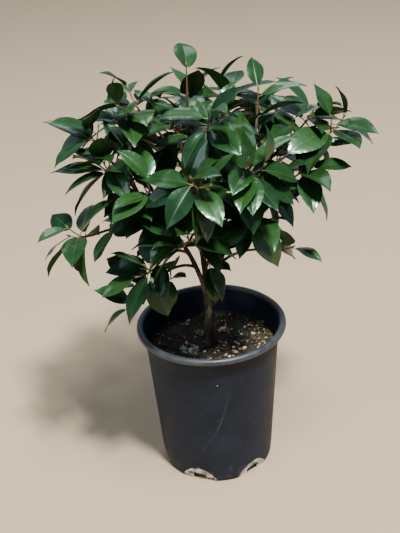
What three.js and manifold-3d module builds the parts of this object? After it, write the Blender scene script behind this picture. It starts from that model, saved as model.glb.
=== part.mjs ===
// A camellia shrub in its black plastic nursery pot, in millimetres, +Z up.
// The origin is the centre of the pot's flat underside. Bearings are degrees round the trunk from +X,
// and bearing 270, the -Y side, is the side that the photograph looks at.
import * as THREE from "three";
import { mergeVertices } from "three/addons/utils/BufferGeometryUtils.js";
import Module from "manifold-3d";

const wasm = await Module();
wasm.setup();

// Pot
const RIM_DIAMETER = 280;
const POT_HEIGHT = 300;
const NECK_DIAMETER = 254;
const BASE_DIAMETER = 214;
const WALL = 2.6;
const BEAD = 13;
const BEAD_STEPS = 7;
const COLLAR_HEIGHT = 27;
const COLLAR_STEP = 1.6;
const FLOOR = 6;
const FOOT_ROUND = 7;
const FOOT_STEPS = 3;
const POT_SIDES = 48;

// Drain holes, each in a flat scallop at the foot of the wall
const HOLES = 6;
const FIRST_HOLE = -112;
const SCALLOP_DEPTH = 7.6;
const SCALLOP_HEIGHT = 24;
const HOLE_WIDTH = 26;
const HOLE_HEIGHT = 13;

// Potting mix
const SOIL_DROP = 52;
const SOIL_SIDES = 30;
const SOIL_RINGS = 4;
const SOIL_RELIEF = 2.4;
const FLAT_ROUND_TRUNK = 26;

// Trunk
const TRUNK_FOOT = { x: -3, y: 0 };
const FLARE = 1.3;
const FLARE_HEIGHT = 16;
const TRUNK_SIDES = 8;

// Boughs, twigs and leaves
const GAP = 0.3;
const CLEARANCE = 0.45;
const GOLDEN = THREE.MathUtils.degToRad(137.5);
const LIMB_SIDES = 6;
const LIMB_STEPS = 5;
const TWIG_SIDES = 3;
const TWIG_STEPS = 2;
const STEM_SHARE = 0.45;
const STEM_RADIUS = 2;
const SHOOT_RADIUS = 1.4;
const SHOOT_TIP_RADIUS = 0.9;
const LEAF_LENGTH = 100;
const LEAF_SIZES = [0.7, 0.9, 1];
const LEAF_SPACING = 10;
const LAST_LEAF = 0.995;
const LEAFY_SHARE = 0.85;
const HALF_WIDTH = 0.255;
const STALK_SHARE = 0.11;
const STALK_HALF = 0.0065;
const LEAF_THICKNESS = 1.2;
const LEAF_SIDES = 3;
const LEAF_STATIONS = [0, STALK_SHARE, 0.34, 0.66];
const BLADE_STATIONS = [0.16, 0.34, 0.66];
const TIP_OPEN = 38;
const SIDE_OPEN = 62;
const OPEN_STEP = 4;
const TRIES = 6;
const TRY_TURN = 0.7;
const LOWEST_LEAF = 8;
const RIM_CLEARANCE = 8;

const SOIL_TOP = POT_HEIGHT - SOIL_DROP;
const RIM_RADIUS = RIM_DIAMETER / 2;
const NECK_RADIUS = NECK_DIAMETER / 2;
const BASE_RADIUS = BASE_DIAMETER / 2;
const UP = new THREE.Vector3(0, 0, 1);

// Each limb leaves another one at a share of its length and runs to a tip, which is named by its
// bearing, its reach out from the trunk's axis and its height over the soil. Rise is how far it
// follows the line of the limb that it leaves before it bends away. Radii are at its foot and tip.
const LIMBS = [
  { name: "trunk", bearing: 180, reach: 2, height: 86, radii: [8.2, 8.2] },
  {
    name: "stem_centre", from: "trunk", share: 1, bearing: 149, reach: 40, height: 388,
    radii: [6.3, 2.8], rise: 0.5,
  },
  {
    name: "stem_left", from: "trunk", share: 0.9, bearing: 187, reach: 146, height: 350,
    radii: [4.8, 2.8], rise: 0.75,
  },
  {
    name: "stem_right", from: "trunk", share: 1, bearing: 12, reach: 94, height: 340,
    radii: [6.4, 2.8], rise: 0.35,
  },
  { name: "bough_top", from: "stem_centre", share: 0.62, bearing: 197, reach: 20, height: 488 },
  { name: "bough_top_left", from: "stem_centre", share: 0.78, bearing: 167, reach: 94, height: 445 },
  { name: "bough_top_right", from: "stem_centre", share: 0.72, bearing: 60, reach: 69, height: 434 },
  { name: "bough_front_high", from: "stem_centre", share: 0.7, bearing: 277, reach: 50, height: 431 },
  { name: "bough_front_mid", from: "stem_centre", share: 0.55, bearing: 262, reach: 108, height: 364 },
  { name: "bough_front_low", from: "stem_centre", share: 0.38, bearing: 256, reach: 116, height: 276 },
  { name: "bough_front_foot", from: "stem_centre", share: 0.2, bearing: 288, reach: 37, height: 213 },
  { name: "bough_left_high", from: "stem_left", share: 0.85, bearing: 172, reach: 137, height: 409 },
  { name: "bough_left_far", from: "stem_left", share: 0.8, bearing: 180, reach: 168, height: 397 },
  { name: "bough_left_front", from: "stem_left", share: 0.75, bearing: 219, reach: 118, height: 346 },
  { name: "bough_left_low", from: "stem_left", share: 0.55, bearing: 192, reach: 196, height: 262 },
  { name: "bough_left_foot", from: "stem_left", share: 0.4, bearing: 224, reach: 123, height: 217 },
  { name: "bough_left_drop", from: "stem_left", share: 0.3, bearing: 212, reach: 140, height: 153 },
  { name: "bough_right_twig", from: "stem_right", share: 0.84, bearing: 14, reach: 100, height: 440 },
  { name: "bough_right_high", from: "stem_right", share: 0.74, bearing: 16, reach: 176, height: 396 },
  { name: "bough_right_far", from: "stem_right", share: 0.8, bearing: 0, reach: 203, height: 398 },
  { name: "bough_right_front", from: "stem_right", share: 0.6, bearing: 305, reach: 122, height: 374 },
  { name: "bough_right_mid", from: "stem_right", share: 0.68, bearing: 346, reach: 150, height: 343 },
  { name: "bough_right_low", from: "stem_right", share: 0.45, bearing: 320, reach: 97, height: 286 },
  { name: "bough_right_foot", from: "stem_right", share: 0.3, bearing: 355, reach: 112, height: 196 },
  { name: "bough_back_left", from: "stem_left", share: 0.6, bearing: 140, reach: 168, height: 385 },
  { name: "bough_back", from: "stem_centre", share: 0.55, bearing: 95, reach: 165, height: 396 },
  { name: "bough_back_right", from: "stem_right", share: 0.6, bearing: 50, reach: 178, height: 384 },
  { name: "bough_back_low", from: "stem_centre", share: 0.3, bearing: 85, reach: 140, height: 262 },
];
const BOUGH_RADII = [2.8, 2.1];
const BOUGH_RISE = 0.5;
const BOUGH_UPTURN = 0.3;
const TWIG_UPTURN = 0.5;

// Each mass grows on from a limb's tip: the length of its twigs, how many shoots they make, how many
// leaves a shoot carries, the bearing of its first shoot and the seed of its random row.
const MASSES = [
  { name: "foliage_centre", on: "stem_centre", twig: 60, shoots: 3, leaves: 4, turn: 0, seed: 2 },
  { name: "foliage_left", on: "stem_left", twig: 50, shoots: 3, leaves: 4, turn: 180, seed: 3 },
  { name: "foliage_right", on: "stem_right", twig: 55, shoots: 3, leaves: 4, turn: 30, seed: 3 },
  { name: "foliage_top", on: "bough_top", twig: 50, shoots: 1, leaves: 2, turn: 300, seed: 1 },
  { name: "foliage_top_left", on: "bough_top_left", twig: 55, shoots: 2, leaves: 5, turn: 90, seed: 5 },
  { name: "foliage_top_right", on: "bough_top_right", twig: 50, shoots: 2, leaves: 4, turn: 180, seed: 3 },
  { name: "foliage_front_high", on: "bough_front_high", twig: 55, shoots: 3, leaves: 5, turn: 0, seed: 6 },
  { name: "foliage_front_mid", on: "bough_front_mid", twig: 50, shoots: 2, leaves: 5, turn: 90, seed: 7 },
  { name: "foliage_front_low", on: "bough_front_low", twig: 45, shoots: 2, leaves: 5, turn: 0, seed: 20 },
  { name: "foliage_front_foot", on: "bough_front_foot", twig: 30, shoots: 1, leaves: 2, turn: 0, seed: 21 },
  { name: "foliage_left_high", on: "bough_left_high", twig: 45, shoots: 2, leaves: 5, turn: 0, seed: 14 },
  { name: "foliage_left_far", on: "bough_left_far", twig: 45, shoots: 2, leaves: 4, turn: 255, seed: 3 },
  { name: "foliage_left_front", on: "bough_left_front", twig: 45, shoots: 2, leaves: 4, turn: 0, seed: 16 },
  { name: "foliage_left_low", on: "bough_left_low", twig: 55, shoots: 2, leaves: 5, turn: 0, seed: 13 },
  { name: "foliage_left_foot", on: "bough_left_foot", twig: 45, shoots: 2, leaves: 4, turn: 0, seed: 18 },
  { name: "foliage_left_drop", on: "bough_left_drop", twig: 32, shoots: 1, leaves: 2, turn: 0, seed: 4 },
  { name: "foliage_right_twig", on: "bough_right_twig", twig: 40, shoots: 1, leaves: 2, turn: 120, seed: 3 },
  { name: "foliage_right_high", on: "bough_right_high", twig: 50, shoots: 2, leaves: 4, turn: 90, seed: 8 },
  { name: "foliage_right_far", on: "bough_right_far", twig: 50, shoots: 2, leaves: 4, turn: 270, seed: 9 },
  {
    name: "foliage_right_front", on: "bough_right_front",
    twig: 50, shoots: 3, leaves: 5, turn: 0, seed: 13,
  },
  { name: "foliage_right_mid", on: "bough_right_mid", twig: 45, shoots: 2, leaves: 4, turn: 180, seed: 3 },
  { name: "foliage_right_low", on: "bough_right_low", twig: 45, shoots: 2, leaves: 4, turn: 0, seed: 11 },
  { name: "foliage_right_foot", on: "bough_right_foot", twig: 40, shoots: 1, leaves: 3, turn: 240, seed: 1 },
  { name: "foliage_back_left", on: "bough_back_left", twig: 55, shoots: 3, leaves: 5, turn: 0, seed: 22 },
  { name: "foliage_back", on: "bough_back", twig: 55, shoots: 3, leaves: 4, turn: 0, seed: 23 },
  { name: "foliage_back_right", on: "bough_back_right", twig: 55, shoots: 3, leaves: 4, turn: 0, seed: 24 },
  { name: "foliage_back_low", on: "bough_back_low", twig: 50, shoots: 3, leaves: 4, turn: 0, seed: 25 },
];
const SPREAD = THREE.MathUtils.degToRad(50);
const FIRST_SPREAD = 0.4;
const FIRST_PLACE = 0.96;

const PLASTIC = new THREE.MeshStandardMaterial({ color: 0x3a3d42, roughness: 0.5, metalness: 0 });
const SOIL = new THREE.MeshStandardMaterial({ color: 0x2b211a, roughness: 1, metalness: 0 });
const BARK = new THREE.MeshStandardMaterial({ color: 0x6f6350, roughness: 0.9, metalness: 0 });
const FOLIAGE = new THREE.MeshStandardMaterial({ color: 0x1f4a24, roughness: 0.35, metalness: 0 });

const camellia = new THREE.Group();

// A seeded row of numbers that is the same on every run.
function randomRow(seed) {
  let state = seed >>> 0;
  return (low, high) => {
    state = (state + 0x6d2b79f5) >>> 0;
    let t = state;
    t = Math.imul(t ^ (t >>> 15), t | 1);
    t = (t + Math.imul(t ^ (t >>> 7), t | 61)) ^ t;
    return low + ((high - low) * ((t ^ (t >>> 14)) >>> 0)) / 4294967296;
  };
}

// A closed mesh as a solid. Faces that have shrunk to a line are dropped, and it is turned to face out.
function solidOf(geometry) {
  const bare = geometry.clone();
  bare.deleteAttribute("normal");
  bare.deleteAttribute("uv");
  const merged = mergeVertices(bare, 1e-4);
  const index = merged.index.array;
  const faces = [];
  for (let i = 0; i < index.length; i += 3) {
    const [a, b, c] = index.slice(i, i + 3);
    if (a !== b && b !== c && c !== a) faces.push(a, b, c);
  }
  const vertProperties = merged.attributes.position.array;
  const made = new wasm.Manifold(
    new wasm.Mesh({ numProp: 3, vertProperties, triVerts: new Uint32Array(faces) }),
  );
  if (made.volume() > 0) return made;
  const turned = new Uint32Array(faces).reverse();
  return new wasm.Manifold(new wasm.Mesh({ numProp: 3, vertProperties, triVerts: turned }));
}

// Adds a solid to the plant as one named mesh.
function addNode(name, solid, material) {
  const { vertProperties, triVerts } = solid.getMesh();
  const geometry = new THREE.BufferGeometry();
  geometry.setAttribute("position", new THREE.BufferAttribute(new Float32Array(vertProperties), 3));
  geometry.setIndex(new THREE.BufferAttribute(new Uint32Array(triVerts), 1));
  geometry.computeVertexNormals();
  const mesh = new THREE.Mesh(geometry, material);
  mesh.name = name;
  camellia.add(mesh);
}

// The largest separate piece of a solid, without the scraps that a cut leaves.
function largestPiece(solid) {
  return solid.decompose().reduce((best, piece) => (piece.volume() > best.volume() ? piece : best));
}

// A profile of [radius, height] points turned round the Z axis.
function turned(profile, sides) {
  const points = profile.map(([radius, height]) => new THREE.Vector2(radius, height));
  return new THREE.LatheGeometry(points, sides).rotateX(Math.PI / 2);
}

// Points on an arc round (x, y), angles in degrees, both ends included.
function arc(x, y, radius, from, to, steps) {
  return Array.from({ length: steps + 1 }, (_, i) => {
    const angle = THREE.MathUtils.degToRad(from + ((to - from) * i) / steps);
    return [x + radius * Math.cos(angle), y + radius * Math.sin(angle)];
  });
}

// The wall's outside radius at a height.
function wallRadius(height) {
  return BASE_RADIUS + ((NECK_RADIUS - BASE_RADIUS) * height) / POT_HEIGHT;
}

// The inside of the pot as a profile, drawn in by a clearance. The foot is thick behind the scallops.
function innerProfile(clearance) {
  const thickTop = SCALLOP_HEIGHT + 2 * FOOT_ROUND;
  const footInside = BASE_RADIUS - SCALLOP_DEPTH - WALL;
  return [
    [0, FLOOR + clearance],
    [footInside - clearance, FLOOR + clearance],
    [wallRadius(thickTop) - WALL - clearance, thickTop],
  ];
}

function makePot() {
  const bead = BEAD / 2;
  const collarFoot = POT_HEIGHT - BEAD - COLLAR_HEIGHT;
  const outer = [
    [0, 0],
    ...arc(BASE_RADIUS - FOOT_ROUND, FOOT_ROUND, FOOT_ROUND, -90, 0, FOOT_STEPS),
    [wallRadius(collarFoot), collarFoot],
    [wallRadius(collarFoot) + COLLAR_STEP, collarFoot + COLLAR_STEP],
    [NECK_RADIUS + COLLAR_STEP, POT_HEIGHT - BEAD],
    ...arc(RIM_RADIUS - bead, POT_HEIGHT - bead, bead, -90, 180, BEAD_STEPS),
  ];
  const inner = [
    [NECK_RADIUS - WALL, POT_HEIGHT - BEAD],
    [wallRadius(collarFoot) - WALL, collarFoot],
    ...innerProfile(0).reverse(),
  ];
  let pot = solidOf(turned([...outer, ...inner], POT_SIDES));
  const lean = Math.atan2(SCALLOP_DEPTH, SCALLOP_HEIGHT);
  for (let i = 0; i < HOLES; i += 1) {
    const bearing = THREE.MathUtils.degToRad(FIRST_HOLE + (360 * i) / HOLES);
    const scallop = new THREE.BoxGeometry(BASE_RADIUS, BASE_DIAMETER, SCALLOP_HEIGHT * 4);
    scallop.translate(BASE_RADIUS / 2, 0, 0);
    scallop.rotateY(lean);
    scallop.translate(BASE_RADIUS - SCALLOP_DEPTH, 0, 0);
    scallop.rotateZ(bearing);
    const hole = new THREE.BoxGeometry(BASE_RADIUS / 4, HOLE_WIDTH, HOLE_HEIGHT + FLOOR);
    hole.translate(BASE_RADIUS - SCALLOP_DEPTH, 0, (HOLE_HEIGHT - FLOOR) / 2);
    hole.rotateZ(bearing);
    pot = pot.subtract(solidOf(scallop)).subtract(solidOf(hole));
  }
  return pot;
}

// The gentle rise and fall of the potting mix, level round the trunk and at the wall.
function soilHeight(x, y, edge) {
  const out = Math.hypot(x, y);
  const offTrunk = THREE.MathUtils.smoothstep(out, FLAT_ROUND_TRUNK, 2 * FLAT_ROUND_TRUNK);
  const offWall = 1 - THREE.MathUtils.smoothstep(out, edge - FLAT_ROUND_TRUNK, edge - 1);
  const waves = Math.sin(x / 23 + 1) * Math.cos(y / 17) + 0.6 * Math.sin((x - y) / 11);
  return SOIL_TOP + SOIL_RELIEF * offTrunk * offWall * waves;
}

function makeSoil() {
  const edge = wallRadius(SOIL_TOP) - WALL - GAP;
  const top = Array.from({ length: SOIL_RINGS + 1 }, (_, i) => [edge * (1 - i / SOIL_RINGS), SOIL_TOP]);
  const soil = turned([...innerProfile(GAP), ...top], SOIL_SIDES);
  const place = soil.attributes.position;
  for (let i = 0; i < place.count; i += 1) {
    if (place.getZ(i) > SOIL_TOP - 1) place.setZ(i, soilHeight(place.getX(i), place.getY(i), edge));
  }
  return solidOf(soil);
}

// A unit vector square to an axis, at an angle round it from the side that is nearest to UP.
function sideways(axis, angle) {
  const side = UP.clone().addScaledVector(axis, -axis.z);
  if (side.lengthSq() < 1e-4) side.set(axis.y * axis.x, axis.y * axis.y - 1, axis.y * axis.z);
  side.normalize();
  const across = new THREE.Vector3().crossVectors(axis, side);
  return side.multiplyScalar(Math.cos(angle)).addScaledVector(across, Math.sin(angle));
}

// The faces between rings of points, with the same number of points on each.
function sideFaces(sides, steps) {
  const faces = [];
  for (let k = 0; k < steps; k += 1) {
    for (let i = 0; i < sides; i += 1) {
      const a = k * sides + i;
      const b = k * sides + ((i + 1) % sides);
      faces.push([a, b, b + sides], [a, b + sides, a + sides]);
    }
  }
  return faces;
}

// The faces that close a ring from its outer side: the first ring faces back, the last one ahead.
function capFaces(first, sides, ahead) {
  return Array.from({ length: sides - 2 }, (_, i) =>
    ahead ? [first, first + i + 1, first + i + 2] : [first, first + i + 2, first + i + 1],
  );
}

// Rings of points along a curve, and the closed surface over them.
function tube(curve, radiusAt, sides, steps) {
  const points = [];
  let side = sideways(curve.getTangent(0), 0);
  for (let k = 0; k <= steps; k += 1) {
    const centre = curve.getPoint(k / steps);
    const axis = curve.getTangent(k / steps);
    side = side.addScaledVector(axis, -axis.dot(side)).normalize();
    const across = new THREE.Vector3().crossVectors(axis, side);
    const radius = radiusAt(k / steps);
    for (let i = 0; i < sides; i += 1) {
      const turn = (2 * Math.PI * i) / sides;
      const out = side.clone().multiplyScalar(radius * Math.cos(turn));
      points.push(out.addScaledVector(across, radius * Math.sin(turn)).add(centre));
    }
  }
  const last = sides * steps;
  const faces = [...sideFaces(sides, steps), ...capFaces(0, sides, false), ...capFaces(last, sides, true)];
  return { points, faces };
}

function solidOfShape({ points, faces }) {
  const geometry = new THREE.BufferGeometry().setFromPoints(points);
  geometry.setIndex(faces.flat());
  return solidOf(geometry);
}

// A radius that changes evenly from one end to the other.
function taper([foot, tip]) {
  return (share) => THREE.MathUtils.lerp(foot, tip, share);
}

// A leaf bends down along an arc: its middle and its upward side at a share of its length.
function leafPlace({ root, along, face, length, arch }, share) {
  const angle = arch * share;
  const run = (length * Math.sin(angle)) / arch;
  const fall = (length * (1 - Math.cos(angle))) / arch;
  const centre = root.clone().addScaledVector(along, run).addScaledVector(face, -fall);
  const up = face.clone().multiplyScalar(Math.cos(angle)).addScaledVector(along, Math.sin(angle));
  return { centre, up };
}

// Half of a leaf's width at a share of its length, as a share of its length.
function halfWidth(share) {
  if (share <= STALK_SHARE) return STALK_HALF;
  const s = (share - STALK_SHARE) / (1 - STALK_SHARE);
  return STALK_HALF + HALF_WIDTH * Math.sin(Math.PI * s ** 0.86) ** 0.8 * (1 - 0.25 * s ** 3);
}

// A leaf as a closed shape: each station has a left edge, a ridge along the top and a right edge, and
// all of them run out to the tip.
function leafShape(leaf, stations, grown) {
  const across = new THREE.Vector3().crossVectors(leaf.along, leaf.face);
  const points = [];
  for (const share of stations) {
    const { centre, up } = leafPlace(leaf, share);
    const half = halfWidth(share) * leaf.length + grown;
    const thick = share > STALK_SHARE ? LEAF_THICKNESS : 2 * half;
    const under = centre.addScaledVector(up, -thick / 2 - grown);
    points.push(under.clone().addScaledVector(across, -half));
    points.push(under.clone().addScaledVector(up, thick + 2 * grown));
    points.push(under.clone().addScaledVector(across, half));
  }
  const last = points.length - LEAF_SIDES;
  const tip = points.length;
  points.push(leafPlace(leaf, 1).centre);
  const faces = [...sideFaces(LEAF_SIDES, stations.length - 1), ...capFaces(0, LEAF_SIDES, false)];
  for (let i = 0; i < LEAF_SIDES; i += 1) faces.push([last + i, last + ((i + 1) % LEAF_SIDES), tip]);
  return { points, faces };
}

// A shape made ready for the touch test: its edges and the ball that holds it.
function body({ points, faces }) {
  const edges = [];
  for (const face of faces) {
    for (let i = 0; i < 3; i += 1) {
      const a = face[i];
      const b = face[(i + 1) % 3];
      if (a < b) edges.push([points[a], points[b]]);
    }
  }
  const triangles = faces.map((face) => face.map((i) => points[i]));
  const box = new THREE.Box3().setFromPoints(points);
  const centre = box.getCenter(new THREE.Vector3());
  const radius = Math.max(...points.map((point) => point.distanceTo(centre)));
  return { points, edges, triangles, ball: new THREE.Sphere(centre, radius) };
}

// Whether an edge of one body goes through a face of the other.
function pierces(a, b) {
  const ray = new THREE.Ray();
  const hit = new THREE.Vector3();
  return a.edges.some(([from, to]) => {
    const length = from.distanceTo(to);
    ray.origin.copy(from);
    ray.direction.subVectors(to, from).divideScalar(length);
    return b.triangles.some(
      ([p, q, r]) => ray.intersectTriangle(p, q, r, false, hit) && hit.distanceTo(from) <= length,
    );
  });
}

function touches(one, others) {
  return others.some(
    (other) => one.ball.intersectsSphere(other.ball) && (pierces(one, other) || pierces(other, one)),
  );
}

function pointAt({ bearing, reach, height }) {
  const angle = THREE.MathUtils.degToRad(bearing);
  return new THREE.Vector3(reach * Math.cos(angle), reach * Math.sin(angle), SOIL_TOP + height);
}

// The line that a limb runs along. The trunk rises straight out of the mix, and what leaves a limb's
// very tip starts clear of it.
function limbCurve(limb, curves) {
  const tip = pointAt(limb);
  if (!limb.from) {
    const foot = new THREE.Vector3(TRUNK_FOOT.x, TRUNK_FOOT.y, SOIL_TOP + GAP);
    const bend = new THREE.Vector3(foot.x, foot.y, (foot.z + tip.z) / 2);
    return new THREE.QuadraticBezierCurve3(foot, bend, tip);
  }
  const parent = curves.get(limb.from);
  const heading = parent.getTangent(limb.share);
  const foot = parent.getPoint(limb.share);
  const reach = tip.distanceTo(foot);
  const rise = limb.rise ?? BOUGH_RISE;
  const straight = tip.clone().sub(foot).normalize();
  const lead = straight.lerp(heading.addScaledVector(UP, BOUGH_UPTURN).normalize(), rise).normalize();
  return new THREE.QuadraticBezierCurve3(foot, foot.clone().addScaledVector(lead, reach / 2), tip);
}

// A twig that leaves a place in one direction and turns upward.
function twigCurve(foot, heading, length) {
  const middle = foot.clone().addScaledVector(heading, length / 2);
  const upward = heading.clone().addScaledVector(UP, TWIG_UPTURN).normalize();
  return new THREE.QuadraticBezierCurve3(foot, middle, middle.clone().addScaledVector(upward, length / 2));
}

// Whether a leaf hangs clear of the mix and of the pot's rim.
function clearOfPot({ points }) {
  return points.every(({ x, y, z }) => {
    const fromRim = Math.abs(Math.hypot(x, y) - RIM_RADIUS + BEAD / 2);
    const besideRim = z < POT_HEIGHT + RIM_CLEARANCE && fromRim < BEAD / 2 + RIM_CLEARANCE;
    return z > SOIL_TOP + LOWEST_LEAF && !besideRim;
  });
}

// The leaves of one shoot, drawn in turn from the seeded row. A leaf that would touch a limb, another
// mass or the rest of its own is turned round its shoot and tried again, and at last left out.
function growLeaves(mass, { shoot, order, length }, own, others) {
  const { draw } = own;
  for (let i = 0; i < mass.leaves; i += 1) {
    const back = mass.leaves - 1 - i;
    const share = LAST_LEAF - Math.min(LEAFY_SHARE, (back * LEAF_SPACING * (1 + 0.2 * back)) / length);
    const root = shoot.getPoint(share);
    const axis = shoot.getTangent(share);
    const bearing = THREE.MathUtils.degToRad(mass.turn) + i * GOLDEN + order * 1.1 + draw(-0.3, 0.3);
    const usual = back === 0 ? TIP_OPEN : SIDE_OPEN + OPEN_STEP * Math.min(back, 3);
    const open = THREE.MathUtils.degToRad(usual) + draw(-0.15, 0.15);
    const size = LEAF_LENGTH * LEAF_SIZES[Math.min(back, 2)] * draw(0.86, 1.06);
    const arch = draw(0.45, 0.95);
    const roll = draw(-0.4, 0.4);
    const droop = draw(-0.1, 0.25);
    for (let attempt = 0; attempt < TRIES; attempt += 1) {
      const out = sideways(axis, bearing + attempt * TRY_TURN);
      const along = axis.clone().multiplyScalar(Math.cos(open)).addScaledVector(out, Math.sin(open));
      along.addScaledVector(UP, -droop).normalize();
      const leaf = { root, along, face: faceUp(along, axis, roll), length: size, arch };
      const whole = body(leafShape(leaf, LEAF_STATIONS, CLEARANCE));
      const blade = body(leafShape(leaf, BLADE_STATIONS, CLEARANCE));
      const inOwn = touches(blade, [...own.blades, ...own.twigs]);
      if (clearOfPot(whole) && !inOwn && !touches(whole, others)) {
        own.leaves.push(leaf);
        own.blades.push(blade);
        own.bodies.push(whole);
        break;
      }
    }
  }
}

// The upper side of a leaf: as near to UP as its direction lets it be, then rolled a little.
function faceUp(along, axis, roll) {
  const wanted = UP.clone().addScaledVector(axis, 0.3).normalize();
  const face = wanted.addScaledVector(along, -wanted.dot(along));
  if (face.lengthSq() < 0.04) face.copy(axis).addScaledVector(along, -axis.dot(along));
  face.normalize();
  const across = new THREE.Vector3().crossVectors(along, face);
  return face.multiplyScalar(Math.cos(roll)).addScaledVector(across, Math.sin(roll));
}

// The twigs of one mass: a stem that carries on its limb's line, and shoots that leave it round the
// golden angle. A mass of one shoot is its stem alone. A shoot that would touch anything is left out.
function growTwigs(mass, limb, others) {
  const draw = randomRow(mass.seed);
  const own = { draw, shapes: [], twigs: [], shoots: [], leaves: [], blades: [], bodies: [] };
  const addTwig = (curve, radii) => {
    const shape = tube(curve, taper(radii), TWIG_SIDES, TWIG_STEPS);
    const made = body(shape);
    if (touches(made, others)) return false;
    own.shapes.push(shape);
    own.twigs.push(made);
    return true;
  };
  const single = mass.shoots === 1;
  const heading = limb.getTangent(1);
  const foot = limb.getPoint(1).addScaledVector(heading, GAP);
  const stemLength = single ? mass.twig : mass.twig * STEM_SHARE;
  const stem = twigCurve(foot, heading, stemLength);
  const stemTip = single ? SHOOT_TIP_RADIUS : SHOOT_RADIUS;
  if (!addTwig(stem, [STEM_RADIUS, stemTip])) throw new Error(mass.name + " has no room for its stem");
  if (single) own.shoots.push({ shoot: stem, order: 0, length: stemLength });
  for (let order = 0; order < mass.shoots && !single; order += 1) {
    const bearing = THREE.MathUtils.degToRad(mass.turn) + order * GOLDEN + draw(-0.25, 0.25);
    const open = SPREAD * (order === 0 ? FIRST_SPREAD : draw(0.85, 1.15));
    const place = order === 0 ? FIRST_PLACE : draw(0.5, 0.92);
    const length = (mass.twig - stemLength * place) * draw(0.85, 1.1);
    const axis = stem.getTangent(place);
    const start = axis.clone().multiplyScalar(Math.cos(open));
    start.addScaledVector(sideways(axis, bearing), Math.sin(open));
    const shoot = twigCurve(stem.getPoint(place), start, length);
    if (addTwig(shoot, [SHOOT_RADIUS, SHOOT_TIP_RADIUS])) own.shoots.push({ shoot, order, length });
  }
  return own;
}

// Each limb is cut clear of the ones before it, so that it starts at their skin.
function makeLimbs() {
  const curves = new Map();
  const grown = [];
  const keepOut = [];
  for (const limb of LIMBS) {
    const isTrunk = !limb.from;
    const curve = limbCurve(limb, curves);
    const radiusAt = isTrunk ? trunkRadius(curve) : taper(limb.radii ?? BOUGH_RADII);
    const sides = isTrunk ? TRUNK_SIDES : LIMB_SIDES;
    let solid = solidOfShape(tube(curve, radiusAt, sides, LIMB_STEPS));
    for (const earlier of grown) solid = solid.subtract(earlier);
    addNode(limb.name, largestPiece(solid), BARK);
    const spare = GAP / Math.cos(Math.PI / sides);
    const wider = tube(curve, (share) => radiusAt(share) + spare, sides, LIMB_STEPS);
    grown.push(lengthened(wider, curve, sides));
    keepOut.push(body(wider));
    curves.set(limb.name, curve);
  }
  return { curves, keepOut };
}

// A limb's widened shape, moved on past its own tip by the gap.
function lengthened(shape, curve, sides) {
  const ahead = curve.getTangent(1).multiplyScalar(GAP);
  const last = shape.points.length - sides;
  const points = shape.points.map((point, i) => (i < last ? point : point.clone().add(ahead)));
  return solidOfShape({ points, faces: shape.faces });
}

// The trunk swells to a root flare over its lowest part.
function trunkRadius(curve) {
  const [foot, tip] = LIMBS[0].radii;
  return (share) => {
    const height = curve.getPoint(share).z - SOIL_TOP;
    const flare = 1 + (FLARE - 1) * Math.max(0, 1 - height / FLARE_HEIGHT) ** 2;
    return THREE.MathUtils.lerp(foot, tip, share) * flare;
  };
}

addNode("pot", makePot(), PLASTIC);
addNode("potting_mix", makeSoil(), SOIL);
const { curves, keepOut } = makeLimbs();
const crowns = [];
for (const mass of MASSES) {
  const twigs = crowns.flatMap((crown) => crown.twigs);
  crowns.push(growTwigs(mass, curves.get(mass.on), [...keepOut, ...twigs]));
}
for (const [i, own] of crowns.entries()) {
  const rest = crowns.filter((crown) => crown !== own);
  const others = rest.flatMap((crown) => [...crown.twigs, ...crown.bodies]);
  for (const shoot of own.shoots) growLeaves(MASSES[i], shoot, own, [...keepOut, ...others]);
  const shapes = [...own.shapes, ...own.leaves.map((leaf) => leafShape(leaf, LEAF_STATIONS, 0))];
  addNode(MASSES[i].name, wasm.Manifold.union(shapes.map(solidOfShape)), FOLIAGE);
}

export default camellia;
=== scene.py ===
from math import atan2, cos, degrees, dist, exp, hypot, pi, radians, sin, sqrt

import bpy
import numpy as np
from mathutils import Matrix, Vector, noise
from mathutils.bvhtree import BVHTree


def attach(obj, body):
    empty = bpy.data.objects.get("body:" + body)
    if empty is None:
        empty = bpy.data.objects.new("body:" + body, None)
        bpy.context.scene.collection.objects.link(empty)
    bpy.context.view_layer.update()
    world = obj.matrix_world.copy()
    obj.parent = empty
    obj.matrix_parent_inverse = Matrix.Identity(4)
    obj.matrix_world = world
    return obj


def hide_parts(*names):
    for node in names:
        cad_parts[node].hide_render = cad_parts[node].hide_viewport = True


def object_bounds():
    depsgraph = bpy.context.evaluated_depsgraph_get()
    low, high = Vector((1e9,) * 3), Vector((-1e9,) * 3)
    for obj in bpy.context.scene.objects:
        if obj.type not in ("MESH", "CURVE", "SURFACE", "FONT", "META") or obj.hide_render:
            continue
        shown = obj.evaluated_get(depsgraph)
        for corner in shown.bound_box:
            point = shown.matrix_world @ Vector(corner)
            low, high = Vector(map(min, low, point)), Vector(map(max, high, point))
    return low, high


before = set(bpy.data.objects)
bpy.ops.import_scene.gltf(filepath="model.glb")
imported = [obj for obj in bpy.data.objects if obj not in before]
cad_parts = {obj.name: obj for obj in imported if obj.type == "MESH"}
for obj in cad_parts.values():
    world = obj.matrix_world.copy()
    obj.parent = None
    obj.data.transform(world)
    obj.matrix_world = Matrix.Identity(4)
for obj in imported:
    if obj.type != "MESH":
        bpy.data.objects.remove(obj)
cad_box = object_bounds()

# A camellia shrub in its black plastic nursery pot. The plant grows here by the rule of the part's
# source, in millimetres, and every mesh is written in metres. Bearings are degrees round the trunk
# from +X, and bearing 270, the -Y side, is the side that the photograph looks at.
MM = 0.001
UP = np.array([0.0, 0.0, 1.0])
FULL_TURN = 2 * pi

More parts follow.
